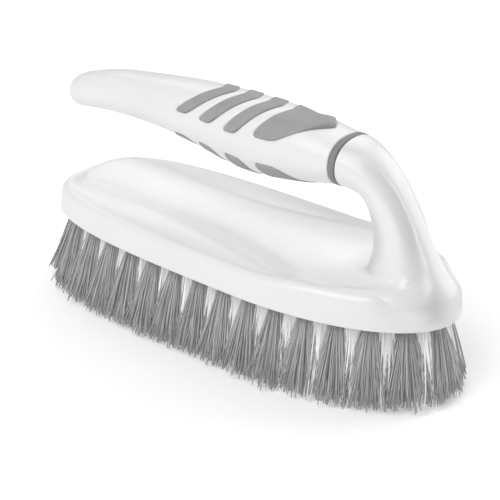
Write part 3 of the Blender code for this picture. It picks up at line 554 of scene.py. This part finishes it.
def sweptUp(flank, skirtTop):
    # round the heel the skirt sweeps up into spine and hollow flanks with no ledge between: a cubic
    # curve from the skirt's top to the column's foot, then on up the column
    s = np.linspace(0, 1, len(flank) + 1)[1:, None]
    start, end = sweep["lowTurns"]
    low = ease((fromHeel - start) / (end - start))
    join, grow = sweep["join"] * (1 - low)[None], column["fillet"] * low[None]
    foot = columnRings(join, grow)[0]
    down = unit(foot - columnRings(join + sweep["footStep"], grow)[0])
    down *= (sweep["footLength"] * (1 - low))[:, None]
    rise = mix(*sweep["rises"], low)[:, None] * np.array([0, 0, 1.0])
    v = np.minimum(s / sweep["footShare"], 1)[..., None]
    swept = (1 - v) ** 3 * skirtTop + 3 * (1 - v) ** 2 * v * (skirtTop + rise)
    swept = swept + 3 * (1 - v) * v**2 * (foot + down) + v**3 * foot
    past = np.clip((s - sweep["footShare"]) / (1 - sweep["footShare"]), 0, 1)
    climbed = columnRings(mix(join, sweep["top"], past), grow * (1 - past) ** 2)
    swept = np.where(s[..., None] < sweep["footShare"], swept, climbed)
    start, end = sweep["endTurns"]
    window = 1 - ease((fromHeel - start) / (end - start))
    return mix(flank, swept, window[:, None])


def topRings():  # up the column, round its end and out to the spigot
    rings = list(columnRings(np.linspace(sweep["top"], column["lastShare"], coverSteps["upper"])[1:]))
    rings += roundedEnd(columnRings(1.0)[0], column["endRound"], coverSteps["end"], 1)
    root = columnRings(1.0, scale=column["spigot"], hollow=0.0)[0]
    return rings + [root, root - np.array([column["spigotLength"], 0, 0])]


def makeCover():
    shell = shellRings()
    flank = sweptUp(np.array(flankRings() + footRings()), shell[-1])
    flank[..., 2] -= sum(line["depth"] * streak(flank, line) for line in creases)
    rings = np.array(shell + list(flank) + topRings())
    # the painted shade, kept in the hollow attribute for the cover's plastic
    paintedShade = paintedHollowShade(rings)
    rings[..., 0] += shift
    cover = putRings("baseCover", rings, coverPlastic, "cover", ["base_cover"])
    endPoints = [0, 0]  # the two closing points, out of sight
    putValues(cover, "hollow", np.append(paintedShade.ravel(), endPoints))


makeCover()


# Grip: a tapered loft with a drooping rounded tip, its surface sunk under each soft pad

grip = {
    "overhang": 0.0050, "droop": 0.0066, "thickness": 0.0242, "width": 0.0256, "power": 2.3,
    "places": (0.0, 0.16, 0.33, 0.5, 0.72, 0.88, 1.0),
    "axis": (-1.0, -0.34, -0.02, 0.06, -0.15, -0.06, 0.0),
    "thicknesses": (0.47, 0.6, 0.69, 0.83, 1.0, 0.88, 0.665),
    "widths": (0.44, 0.6, 0.735, 0.865, 1.0, 0.95, 0.84),
    "tipRadius": 0.0082, "tipTurns": (4, 82), "fineStart": -0.034, "endRound": 0.0004,
    "pocket": 0.0007, "pocketEdge": 0.0004, "groove": 0.00022, "grooveWidth": 0.00045,
}
gripSteps = {"around": 220, "tip": 16, "plain": 44, "fine": 236, "end": 5}
band = {
    "width": 0.0023, "gap": 0.0003, "proud": 0.0002, "round": 0.0005, "around": 180, "steps": 5,
}
jointX = halfLength - column["front"][3][0]
jointLow, jointHigh = deck + column["front"][3][1], deck + column["back"][3][1]
jointZ, jointHalf = (jointLow + jointHigh) / 2, (jointHigh - jointLow) / 2
jointSide = column["width"] / 2 * column["widths"][-1]
gripEnd = jointX - band["width"] - 2 * band["gap"]
gripTip = -halfLength - grip["overhang"]
gripRadius = grip["width"] / 2  # turns an angle over the grip into a length

# Each pad is a stripe across the grip: the node it stands for, its setback from the grip's end, its
# length along the grip, how far its two long edges bow towards the tip, its end's angle in degrees
# from the ridge or the underside, and the side it lies on, 1 above and -1 below.
padKeys = ("node", "setback", "length", "startBow", "endBow", "endAngle", "side")
padRows = {
    "topStripe1": ("top_stripe_1", 0.0540, 0.0063, 0.0124, 0.0124, 77, 1),
    "topStripe2": ("top_stripe_2", 0.0440, 0.0063, 0.0112, 0.0112, 77, 1),
    "topStripe3": ("top_stripe_3", 0.0336, 0.0063, 0.0101, 0.0101, 77, 1),
    "thumbPad": ("thumb_pad", 0.0233, 0.0177, 0.0080, 0.0152, 72, 1),
    "underStripe1": ("under_stripe_1", 0.0648, 0.0082, 0.0044, 0.0044, 54, -1),
    "underStripe2": ("under_stripe_2", 0.0513, 0.0082, 0.0053, 0.0053, 60, -1),
    "underStripe3": ("under_stripe_3", 0.0375, 0.0082, 0.0063, 0.0063, 66, -1),
    "fingerPad": ("finger_pad", 0.0238, 0.0174, 0.0068, 0.0140, 67, -1),
}
pads = {name: dict(zip(padKeys, row)) for name, row in padRows.items()}
padForm = {
    "bowPower": 1.5, "proud": 0.00029, "roll": 0.0005, "rollSteps": 6, "depth": 0.0006, "lap": 0.0010,
    "clear": 0.00012, "around": 200, "fineSteps": 6001, "cornerPower": 6.0, "cornerShare": 0.55,
    "topShares": (0.25, 0.45, 0.65, 0.85, 1.0),
}
thumb = {
    "lip": 0.00185, "lipInset": 0.0020, "lipNose": 0.0017, "lipLength": 0.0032, "lipSpread": 30,
    "noseTurns": (4, 24), "dish": 0.0006, "dishSetback": 0.0169, "dishLength": 0.0050,
}


def gripSection(x):  # centre height, half thickness and half width at a place along the grip
    share = (x - gripTip) / (gripEnd - gripTip)
    nose = np.clip((x - gripTip) / grip["tipRadius"], 0, 1)
    roundOff = np.sqrt(np.maximum(1 - (1 - nose) ** 2, 0))
    centre = jointZ + grip["droop"] * curveThrough(grip["places"], grip["axis"], share)
    thick = grip["thickness"] / 2 * curveThrough(grip["places"], grip["thicknesses"], share) * roundOff
    wide = gripRadius * curveThrough(grip["places"], grip["widths"], share) * roundOff
    return centre, thick, wide


def gripPoint(x, angle, side, lift):  # a point over the grip's skin, at an angle from ridge or underside
    centre, thick, wide = gripSection(x)
    n = grip["power"]
    flat = np.abs(np.cos(angle) / thick) ** n + np.abs(np.sin(angle) / wide) ** n
    radius = flat ** (-1 / n) + lift
    return np.stack([x, radius * np.sin(angle), centre + side * radius * np.cos(angle)], -1)


def padEdges(pad, angle):  # where a pad starts and ends along the grip at an angle, and the bow's slant
    turned = np.minimum(np.abs(angle) / np.radians(pad["endAngle"]), 1)
    swing = turned ** padForm["bowPower"]
    start = gripEnd - pad["setback"]
    low, high = start - pad["startBow"] * swing, start + pad["length"] - pad["endBow"] * swing
    steepness = padForm["bowPower"] * turned ** (padForm["bowPower"] - 1)
    return low, high, steepness / np.radians(pad["endAngle"]) / gripRadius


def padDistance(pad, x, angle):  # signed distance to a pad's rounded outline, under 0 inside it
    low, high, slant = padEdges(pad, angle)
    middle = (low + high) / 2
    square = np.hypot(1, np.where(x < middle, pad["startBow"], pad["endBow"]) * slant)
    halfLong, halfAcross = (high - low) / 2 / square, np.radians(pad["endAngle"]) * gripRadius
    corner = np.minimum(halfLong, halfAcross) * padForm["cornerShare"]
    dx = np.abs(x - middle) / square - (halfLong - corner)
    dy = np.abs(angle) * gripRadius - (halfAcross - corner)
    outside = np.hypot(np.maximum(dx, 0), np.maximum(dy, 0))
    return outside + np.minimum(np.maximum(dx, dy), 0) - corner


def gripRings():
    # superellipse sections, closer together where the pads are, sunk along the skin's own normal: a
    # pocket under each pad and a shallow groove round its outline
    bend = np.radians(np.linspace(*grip["tipTurns"], gripSteps["tip"]))
    nose = gripTip + grip["tipRadius"] * (1 - np.cos(bend))
    plain = np.linspace(gripTip + grip["tipRadius"], grip["fineStart"], gripSteps["plain"])[:-1]
    x = np.concatenate([nose, plain, np.linspace(grip["fineStart"], gripEnd, gripSteps["fine"])])
    turn = np.linspace(0, 2 * np.pi, gripSteps["around"], endpoint=False)
    c, s = superellipse(turn, grip["power"])
    centre, thick, wide = (v[:, None] for v in gripSection(x))
    z, y = thick * c, wide * s
    sink = np.zeros_like(y)
    for pad in pads.values():
        d = padDistance(pad, x[:, None], np.arctan2(y, pad["side"] * z))
        sink = sink + grip["pocket"] * ease(-d / grip["pocketEdge"])
        sink = sink + grip["groove"] * bump(d, 0.0, grip["grooveWidth"])
    outward = unit(np.stack([y / wide**2, z / thick**2], -1))
    y, z = y - sink * outward[..., 0], z - sink * outward[..., 1]
    rings = list(np.stack([np.broadcast_to(x[:, None], y.shape), y, centre + z], -1))
    rings = np.array(rings[:-1] + roundedEnd(rings[-1], grip["endRound"], gripSteps["end"], -1))
    rings[..., 0] += shift
    return rings


putRings("handleGrip", gripRings(), gripPlastic, "grip", ["handle_grip"])


# Soft pads: the grip's own skin, lifted a little and rolled down into the pocket at the edges

def thumbRise(x, angle, high):
    # a tongue raised along the pad's heel edge, highest on the ridge, where its nose is rounded off,
    # and a dish in front of it
    turned, (start, end) = np.degrees(np.abs(angle)), thumb["noseTurns"]
    inward = high - x - thumb["lipInset"]
    rounded = bump(np.minimum(inward, 0), 0, thumb["lipNose"])
    nose = mix(rounded, 1.0, ease((turned - start) / (end - start)))
    tongue = bump(np.maximum(inward, 0), 0, thumb["lipLength"]) * bump(turned, 0, thumb["lipSpread"])
    dish = bump(gripEnd - x, thumb["dishSetback"], thumb["dishLength"])
    return thumb["lip"] * tongue * nose - thumb["dish"] * dish


def padPoints(pad, inset, lift, rise=None):
    # loop of even steps round the pad's outline, drawn in by an inset and lifted over the skin
    endAngle = np.radians(pad["endAngle"])
    fine = np.linspace(0, 2 * np.pi, padForm["fineSteps"])
    a, b = superellipse(fine, padForm["cornerPower"])
    run = travelled(a * endAngle * gripRadius, b * pad["length"] / 2)
    loop = np.interp(np.arange(padForm["around"]) / padForm["around"] * run[-1], run, fine)
    a, b = superellipse(loop, padForm["cornerPower"])
    angle = a * np.maximum(endAngle - inset / gripRadius, 0)
    low, high, slant = padEdges(pad, angle)
    lowIn = low + inset * np.hypot(1, pad["startBow"] * slant)
    highIn = high - inset * np.hypot(1, pad["endBow"] * slant)
    x = (lowIn + highIn) / 2 + b * np.maximum(highIn - lowIn, 0) / 2
    return gripPoint(x, angle, pad["side"], lift + (rise(x, angle, high) if rise else 0.0))


def makePad(name, pad, rise=None):
    # loops from the underside, round the rolled edge and over the top to a seam along the middle
    top, roll, clear = padForm["proud"], padForm["roll"], padForm["clear"]
    loops = [padPoints(pad, clear + lap, -padForm["depth"]) for lap in (padForm["lap"], 0.0)]
    for turn in np.linspace(0, np.pi / 2, padForm["rollSteps"]):
        inset, lift = clear + roll * (1 - np.cos(turn)), top - roll * (1 - np.sin(turn))
        loops.append(padPoints(pad, inset, lift, rise))
    for share in padForm["topShares"]:
        loops.append(padPoints(pad, mix(clear + roll, pad["length"] / 2, share), top, rise))
    loops = np.array(loops)
    loops[..., 0] += shift
    putRings(name, loops, gripRubber, "soft_grip", [pad["node"]], sharpAngle=60)


for name, pad in pads.items():
    makePad(name, pad, thumbRise if name == "thumbPad" else None)


def makeBand():  # the band's rounded section, carried round the joint and closed on itself
    c, s = superellipse(np.linspace(0, 2 * np.pi, band["around"], endpoint=False), column["jointPower"])
    back, front = jointX - band["gap"], jointX - band["gap"] - band["width"]
    bends = np.linspace(0, np.pi / 2, band["steps"])
    insets, lifts = band["round"] * (1 - np.cos(bends)), band["proud"] - band["round"] * (1 - np.sin(bends))
    edges = list(zip(front + insets, lifts)) + list(zip(back - insets[::-1], lifts[::-1]))
    profile = [(x, jointSide + lift, jointHalf + lift) for x, lift in edges]
    inside = [size * column["spigot"] + band["gap"] for size in (jointSide, jointHalf)]
    profile += [(back, *inside), (front, *inside)]
    rings = np.array([
        np.stack([np.full(c.shape, x), side * s, jointZ + high * c], -1) for x, side, high in profile
    ])
    rings[..., 0] += shift
    rows, columns = rings.shape[:2]
    faces = gridFaces(rows + 1, columns) % (rows * columns)  # the last ring joins the first
    putMesh("jointBand", rings, faces, [], bandRubber, "soft_grip", ["joint_band"])


makeBand()


# Bristles: every strand is a thin tapered tube of three sides along a gently bowed line

bristle = {
    "holeInset": 0.0067, "rootSink": 0.0006, "rootRadius": 0.00023, "tipRadius": 0.00018,
    "radiusShares": (0.85, 1.15), "sides": 3, "steps": 5, "ragged": 0.0030, "wave": 0.00030,
    "waveTurns": (2, 5), "curl": 0.0007, "bow": 0.0002, "bowSpread": 0.00035, "boxClear": 1e-5,
    "shade": 0.5, "shadeSpread": 0.22, "spotJitter": 0.035, "outlineSteps": 2881, "tangentShare": 0.12,
}
outer = {
    "tufts": 32, "strands": 225, "root": 0.0020, "toeSplay": 0.0020, "heelSplay": -0.0022,
    "tipHalfWidths": (0.0074, 0.0094), "widenFrom": 0.5, "tipHalfDepth": 0.0036, "dome": 0.0004,
    "raggedBeta": (1.1, 3.2), "clumps": 14, "clumpRagged": 0.0030, "clumpSpread": 0.0006,
    "scatter": 0.00045, "strayShare": 0.03, "strayReach": 0.0016,
}
inner = {
    "strands": 64, "root": 0.0026, "tip": 0.0044, "pitch": 0.0090, "columns": 18, "rows": (-1, 0, 1),
    "rowShare": 0.96, "fieldInset": 0.0115, "lean": 0.03, "scatter": 0.0005, "raggedBeta": (1.1, 3.0),
    "betweenInset": 0.0010, "betweenLean": 0.0042,
}


def spacedOutline(inset, count, offset=0.0):
    # places at equal steps round the outline, their outward ways and their ways along it
    x, y = outline(inset, np.linspace(0, 2 * np.pi, bristle["outlineSteps"]))
    run = travelled(x, y)
    wanted, near = (np.arange(count) + offset) / count * run[-1], bristle["tangentShare"] * run[-1] / count
    before, places, after = (
        np.stack([np.interp(wanted + step, run, v, period=run[-1]) for v in (x, y)], -1)
        for step in (-near, 0.0, near)
    )
    tangent = unit(after - before)
    return places, np.stack([tangent[:, 1], -tangent[:, 0]], -1), tangent


def diskSpots(count, groups):  # even spread over a unit disk, turned and jittered for each group
    k = np.arange(count) + 0.5
    radius = np.sqrt(k / count)
    turn = k * np.pi * (3 - np.sqrt(5)) + chance.uniform(0, 2 * np.pi, (groups, 1))
    spots = np.stack([radius * np.cos(turn), radius * np.sin(turn)], -1)
    return spots + chance.normal(0, bristle["spotJitter"], spots.shape)


def clumped(tip, tipZ):  # strands gather in clumps that share a length and a way
    clumps = outer["clumps"]
    group = np.arange(tip.shape[1]) % clumps
    shove = chance.normal(0, outer["clumpSpread"], (len(tip), clumps, 2))
    drop = chance.uniform(0, outer["clumpRagged"], (len(tip), clumps, 1))
    return tip + shove[:, group], tipZ + drop[:, group]


def strands(name, foot, tip, tipZ, out, material, slot, start):
    # line from root to tip + a bow along out + a slow wave + a curl near the tip, then a small ring
    # round each of its points
    rootZ, move = np.full(tipZ.shape, rim + bristle["rootSink"]), np.array([shift, 0, 0])
    roots, tips = (
        np.concatenate(ends, -1).reshape(-1, 3) + move for ends in ((foot, rootZ), (tip, tipZ))
    )
    count, steps, sides = len(roots), bristle["steps"], bristle["sides"]
    u = np.linspace(0, 1, steps)[None, :, None]
    line = roots[:, None] + (tips - roots)[:, None] * u
    bow = chance.normal(bristle["bow"], bristle["bowSpread"], (count, 1, 1)) * 4 * u * (1 - u)
    line = line + bow * out[:, None]
    phase = chance.uniform(0, 2 * np.pi, (count, 1, 2))
    wave = bristle["wave"] * np.sin(u * chance.uniform(*bristle["waveTurns"], (count, 1, 2)) + phase) * u
    line[..., :2] += wave - wave[:, :1] + chance.normal(0, bristle["curl"], (count, 1, 2)) * u**3
    axis = unit(tips - roots)
    first = unit(np.cross(axis, [0.3, 1.0, 0.1]))  # any way that no strand takes
    second = np.cross(axis, first)
    radius = mix(bristle["rootRadius"], bristle["tipRadius"], u)
    radius = radius * chance.uniform(*bristle["radiusShares"], (count, 1, 1))
    turn = np.linspace(0, 2 * np.pi, sides, endpoint=False) + chance.uniform(0, 2 * np.pi, (count, 1))
    ring = np.cos(turn)[..., None] * first[:, None] + np.sin(turn)[..., None] * second[:, None]
    points = line[:, :, None] + ring[:, None] * radius[..., None]
    low, high = np.array(cadBox)
    points = np.clip(points, low + bristle["boxClear"], high - bristle["boxClear"])
    k = np.arange(count)[:, None, None] * steps * sides
    row, side = np.arange(steps - 1)[None, :, None] * sides, np.arange(sides)[None, None]
    after = (side + 1) % sides
    quads = np.stack([k + row + side, k + row + after, k + row + sides + after, k + row + sides + side], -1)
    ends = k[:, 0] + np.arange(sides)
    caps = np.vstack([ends[:, ::-1], ends + (steps - 1) * sides])
    nodes = sorted(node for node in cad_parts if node.startswith(start))
    piece = putMesh(name, points, quads, caps, material, slot, nodes, sharpAngle=180)
    shade = np.clip(chance.normal(bristle["shade"], bristle["shadeSpread"], count), 0, 1)
    putValues(piece, "shade", np.repeat(shade, steps * sides))
    putValues(piece, "reach", np.tile(np.repeat(np.linspace(0, 1, steps), sides), count))


def outerBristles():  # one ring of tufts that splay out and widen towards the heel
    places, out, tangent = spacedOutline(bristle["holeInset"], outer["tufts"])
    spots = diskSpots(outer["strands"], len(places))
    acrossSpots, outSpots = spots[..., :1] * tangent[:, None], spots[..., 1:] * out[:, None]
    foot = places[:, None] + outer["root"] * (acrossSpots + outSpots)
    share = (places[:, 0] + halfLength) / base["length"]
    lean = bristle["holeInset"] + mix(outer["toeSplay"], outer["heelSplay"], share)
    half = mix(*outer["tipHalfWidths"], ease((share - outer["widenFrom"]) / (1 - outer["widenFrom"])))
    spread = half[:, None, None] * acrossSpots + outer["tipHalfDepth"] * outSpots
    tip = places[:, None] + lean[:, None, None] * out[:, None] + spread
    stray = chance.random((*tip.shape[:2], 1)) < outer["strayShare"]  # these cross into the gaps
    tip = tip + chance.normal(0, 1, tip.shape) * np.where(stray, outer["strayReach"], outer["scatter"])
    ragged = bristle["ragged"] * chance.beta(*outer["raggedBeta"], stray.shape)
    tipZ = ragged + outer["dome"] * np.linalg.norm(spots, axis=-1)[..., None] ** 2
    tip, tipZ = clumped(tip, tipZ)
    ways = np.repeat(np.concatenate([out, np.zeros((len(out), 1))], -1), outer["strands"], axis=0)
    strands("outerBristles", foot, tip, tipZ, ways, greyNylon, "outer_bristle", "outer_tuft")


def fieldPlaces():  # three rows inside the outer ring, the middle one half a pitch off the others
    pitch = inner["pitch"]
    columns = np.arange(inner["columns"]) - inner["columns"] / 2 + 0.5
    x, y = np.meshgrid(columns * pitch, np.array(inner["rows"]) * pitch * inner["rowShare"])
    x, y = (x + np.where(y == 0, 0, pitch / 2)).ravel(), y.ravel()
    inset = bristle["holeInset"] + inner["fieldInset"]
    heel = x > base["widest"]
    n = np.where(heel, base["heelPower"], base["toePower"])
    reach = np.abs((x - base["widest"]) / halfRun(heel, inset)) ** n + np.abs(y / (halfWidth - inset)) ** n
    return np.stack([x, y], -1)[reach < 1]


def innerBristles():  # paler tufts, one between every two outer tufts and a field inside the ring
    field = fieldPlaces()
    between, out, _ = spacedOutline(bristle["holeInset"] + inner["betweenInset"], outer["tufts"], 0.5)
    places = np.vstack([between, field])
    lean = np.vstack([out * inner["betweenLean"], field * inner["lean"]])
    spots = diskSpots(inner["strands"], len(places))
    foot = places[:, None] + inner["root"] * spots
    tip = (places + lean)[:, None] + inner["tip"] * spots + chance.normal(0, inner["scatter"], spots.shape)
    tipZ = bristle["ragged"] * chance.beta(*inner["raggedBeta"], (*spots.shape[:2], 1))
    ways = np.tile([1.0, 0.0, 0.0], (foot.size // 2, 1))
    strands("innerBristles", foot, tip, tipZ, ways, paleNylon, "inner_bristle", "inner_row")
    print("inner tufts:", len(places))


outerBristles()
innerBristles()

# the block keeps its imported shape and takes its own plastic
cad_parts["bristle_block"].data.materials.clear()
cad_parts["bristle_block"].data.materials.append(blockPlastic)


# Floor, lights and camera

studio = {"floorHalf": 3, "floorGlow": 0.21, "room": 0.28, "backdrop": 1.0, "centre": (0.0, 0.0, 0.04)}
view = {
    "azimuth": 41.16, "elevation": 25.53, "distance": 0.56166, "right": -0.00137, "up": 0.02560,
    "lens": 115.07, "sensor": 36.0, "nearest": 0.01,
}
azimuth, elevation = np.radians(view["azimuth"]), np.radians(view["elevation"])
flatBack = np.array([np.sin(azimuth), -np.cos(azimuth), 0.0])
backWay = flatBack * np.cos(elevation) + np.array([0, 0, np.sin(elevation)])
rightWay = np.array([np.cos(azimuth), np.sin(azimuth), 0.0])
upWay = np.cross(backWay, rightWay)


def paleFloor():
    # Pale studio paper. Colour = two near whites in clouds of about 20 mm. Seen by the camera it is
    # lifted to the background's white by a light of its own, and the object's soft shadow stays on it.
    material, tree = newMaterial("paleStudioPaper")
    path = addNode(tree, "ShaderNodeLightPath")
    where = addNode(tree, "ShaderNodeTexCoord")
    tint = twoTone(tree, (noise(tree, where, 20, 3.0), "Fac"), "#F7F7F7", "#F9F9F9")
    paper = addNode(tree, "ShaderNodeBsdfDiffuse", {}, {"Color": (tint, "Color")})
    glow = addNode(tree, "ShaderNodeEmission", {"Color": (1, 1, 1, 1), "Strength": studio["floorGlow"]})
    lifted = addNode(tree, "ShaderNodeAddShader", {}, {0: (paper, "BSDF"), 1: (glow, "Emission")})
    shown = addNode(
        tree, "ShaderNodeMixShader", {},
        {0: (path, "Is Camera Ray"), 1: (paper, "BSDF"), 2: (lifted, "Shader")},
    )
    addNode(tree, "ShaderNodeOutputMaterial", {}, {"Surface": (shown, "Shader")})
    mesh = bpy.data.meshes.new("floor")
    h = studio["floorHalf"]
    mesh.from_pydata([(-h, -h, 0), (h, -h, 0), (h, h, 0), (-h, h, 0)], [], [(0, 1, 2, 3)])
    mesh.materials.append(material)
    floor = bpy.data.objects.new("floor", mesh)
    bpy.context.scene.collection.objects.link(floor)


def aim(thing, place, back, right):  # stands a camera or lamp at a place, looking against its back way
    turned = np.eye(4)
    turned[:3] = np.stack([right, np.cross(back, right), back, place], -1)
    thing.matrix_world = Matrix(turned.tolist())


def addCamera():
    camera = bpy.data.objects.new("camera", bpy.data.cameras.new("camera"))
    bpy.context.scene.collection.objects.link(camera)
    camera.data.lens = view["lens"]
    camera.data.sensor_width = view["sensor"]
    camera.data.clip_start = view["nearest"]
    place = rightWay * view["right"] + upWay * view["up"] + backWay * view["distance"]
    aim(camera, place + np.array([shift, 0, 0]), backWay, rightWay)
    bpy.context.scene.camera = camera


# Lamps by their ways from the object in the camera's right, up and back, then distance, size and watts
lamps = {
    "keySoftbox": ((-0.66, 1.0, 0.75), 1.2, 1.0, 9.9),
    "backSoftbox": ((0.0, 0.9, -0.9), 1.2, 1.0, 3.4),
    "rimSoftbox": ((0.95, 0.4, -0.45), 1.2, 1.0, 8.2),
}


def addLamps():
    for name, ((toRight, up, toBack), distance, size, watts) in lamps.items():
        lamp = bpy.data.objects.new(name, bpy.data.lights.new(name, "AREA"))
        bpy.context.scene.collection.objects.link(lamp)
        lamp.data.shape, lamp.data.size, lamp.data.energy = "SQUARE", size, watts
        back = unit(rightWay * toRight + np.array([0, 0, up]) + flatBack * np.cos(elevation) * toBack)
        right = unit(np.cross([0, 0, 1], back))
        aim(lamp, np.array(studio["centre"]) + back * distance, back, right)


def addWorld():  # dim white room, shown to the camera as a white backdrop
    world = bpy.data.worlds.new("studio")
    world.use_nodes = True
    tree = world.node_tree
    tree.nodes.clear()
    path = addNode(tree, "ShaderNodeLightPath")
    room, seen = (
        addNode(tree, "ShaderNodeBackground", {"Color": (1, 1, 1, 1), "Strength": studio[part]})
        for part in ("room", "backdrop")
    )
    both = addNode(
        tree, "ShaderNodeMixShader", {},
        {0: (path, "Is Camera Ray"), 1: (room, "Background"), 2: (seen, "Background")},
    )
    addNode(tree, "ShaderNodeOutputWorld", {}, {"Surface": (both, "Shader")})
    bpy.context.scene.world = world


paleFloor()
addCamera()
addLamps()
addWorld()
bpy.context.scene.view_settings.view_transform = "Standard"
print("stage, camera and lamps made")
